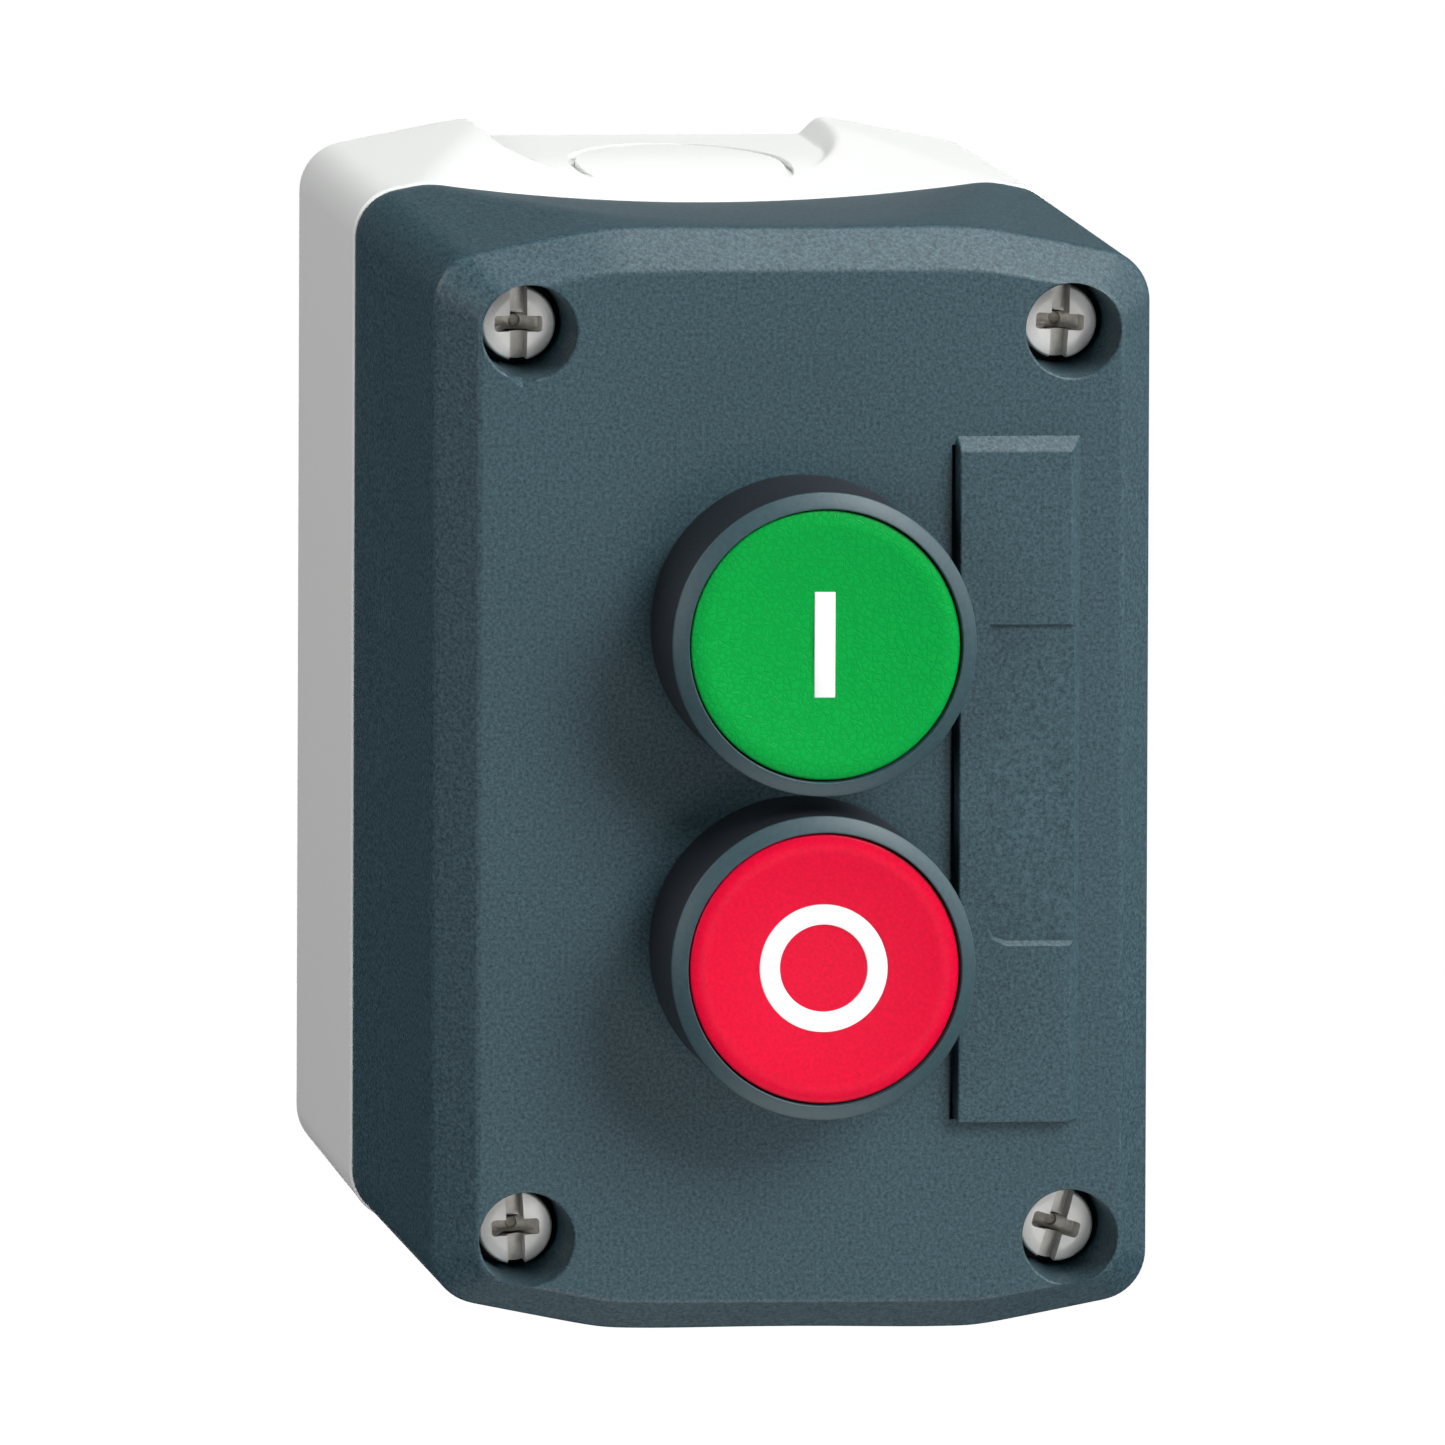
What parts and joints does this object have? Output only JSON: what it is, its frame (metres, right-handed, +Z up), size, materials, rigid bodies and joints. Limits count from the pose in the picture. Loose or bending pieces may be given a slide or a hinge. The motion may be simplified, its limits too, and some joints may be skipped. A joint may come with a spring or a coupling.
{
  "type": "push-button control station",
  "caption": "Surface-mount control station: light base, dark cover, green start and red stop push buttons working a closing and an opening contact block.",
  "frame": {"origin": "centre of the flat back face that sits on the wall", "axes": "+X to the right seen from the front, +Y into the wall, +Z up; the cover and buttons face -Y"},
  "size_m": [0.068, 0.0714, 0.1046],
  "materials": {
    "base_plastic": "light grey moulded polycarbonate, fine satin grain",
    "cover_plastic": "dark blue-grey moulded polycarbonate, fine matt grain",
    "bezel_plastic": "dark blue-grey moulded plastic, smooth satin",
    "start_green": "green moulded plastic, fine leather grain",
    "stop_red": "red moulded plastic, satin",
    "symbol_white": "white two-shot moulded inlay",
    "natural_plastic": "natural acetal",
    "black_plastic": "black glass-filled polyamide",
    "block_grey": "dark grey polyamide",
    "seal_rubber": "matt black elastomer",
    "plated_screw": "bright zinc-plated steel",
    "spring_steel": "drawn spring steel",
    "contact_brass": "tin-flashed brass"
  },
  "bodies": {
    "enclosure": {"base": "base_plastic", "cover": "cover_plastic", "cover_gasket": "seal_rubber", "cover_screws": "plated_screw", "screw_washers": "seal_rubber", "block_screws": "plated_screw", "start_bezel": "bezel_plastic", "start_bezel_gasket": "seal_rubber", "start_collar_nut": "black_plastic", "start_return_spring": "spring_steel", "start_block_housing": "black_plastic", "start_block_lid": "block_grey", "start_block_spring": "spring_steel", "start_terminals": "contact_brass", "start_terminal_screws": "plated_screw", "start_wire_clamps": "plated_screw", "stop_bezel": "bezel_plastic", "stop_bezel_gasket": "seal_rubber", "stop_collar_nut": "black_plastic", "stop_return_spring": "spring_steel", "stop_block_housing": "black_plastic", "stop_block_lid": "block_grey", "stop_block_spring": "spring_steel", "stop_terminals": "contact_brass", "stop_terminal_screws": "plated_screw", "stop_wire_clamps": "plated_screw", "stop_contact_spring": "spring_steel"},
    "start_button": {"start_cap": "start_green", "start_symbol": "symbol_white", "start_plunger": "natural_plastic", "start_clip": "spring_steel"},
    "start_carrier": {"start_block_carrier": "start_green", "start_contact_spring": "spring_steel"},
    "start_contact": {"start_bridge": "contact_brass"},
    "stop_button": {"stop_cap": "stop_red", "stop_symbol": "symbol_white", "stop_plunger": "natural_plastic", "stop_clip": "spring_steel"},
    "stop_carrier": {"stop_block_carrier": "stop_red"},
    "stop_contact": {"stop_bridge": "contact_brass"}
  },
  "joints": [
    {"name": "start_press", "type": "slide", "parent": "enclosure", "child": "start_button", "axis": [0, 1, 0], "range_m": [0, 0.004], "stiffness_N_per_m": 900, "springref_m": -0.003, "deforming": ["start_return_spring", "start_block_spring", "start_contact_spring"]},
    {"name": "start_carrier_slide", "type": "slide", "parent": "enclosure", "child": "start_carrier", "axis": [0, 1, 0], "range_m": [0, 0.00402]},
    {"name": "start_contact_slide", "type": "slide", "parent": "enclosure", "child": "start_contact", "axis": [0, 1, 0], "range_m": [0, 0.00262]},
    {"name": "stop_press", "type": "slide", "parent": "enclosure", "child": "stop_button", "axis": [0, 1, 0], "range_m": [0, 0.004], "stiffness_N_per_m": 900, "springref_m": -0.003, "deforming": ["stop_return_spring", "stop_block_spring", "stop_contact_spring"]},
    {"name": "stop_carrier_slide", "type": "slide", "parent": "enclosure", "child": "stop_carrier", "axis": [0, 1, 0], "range_m": [0, 0.00402]},
    {"name": "stop_contact_slide", "type": "slide", "parent": "enclosure", "child": "stop_contact", "axis": [0, 1, 0], "range_m": [0, 0.00262]}
  ],
  "couplings": [
    {"joint": "start_carrier_slide", "follows": "start_press", "ratio": 1},
    {"joint": "start_contact_slide", "follows": "start_press", "ratio": 0.65},
    {"joint": "stop_carrier_slide", "follows": "stop_press", "ratio": 1},
    {"joint": "stop_contact_slide", "follows": "stop_press", "ratio": 0.65}
  ]
}
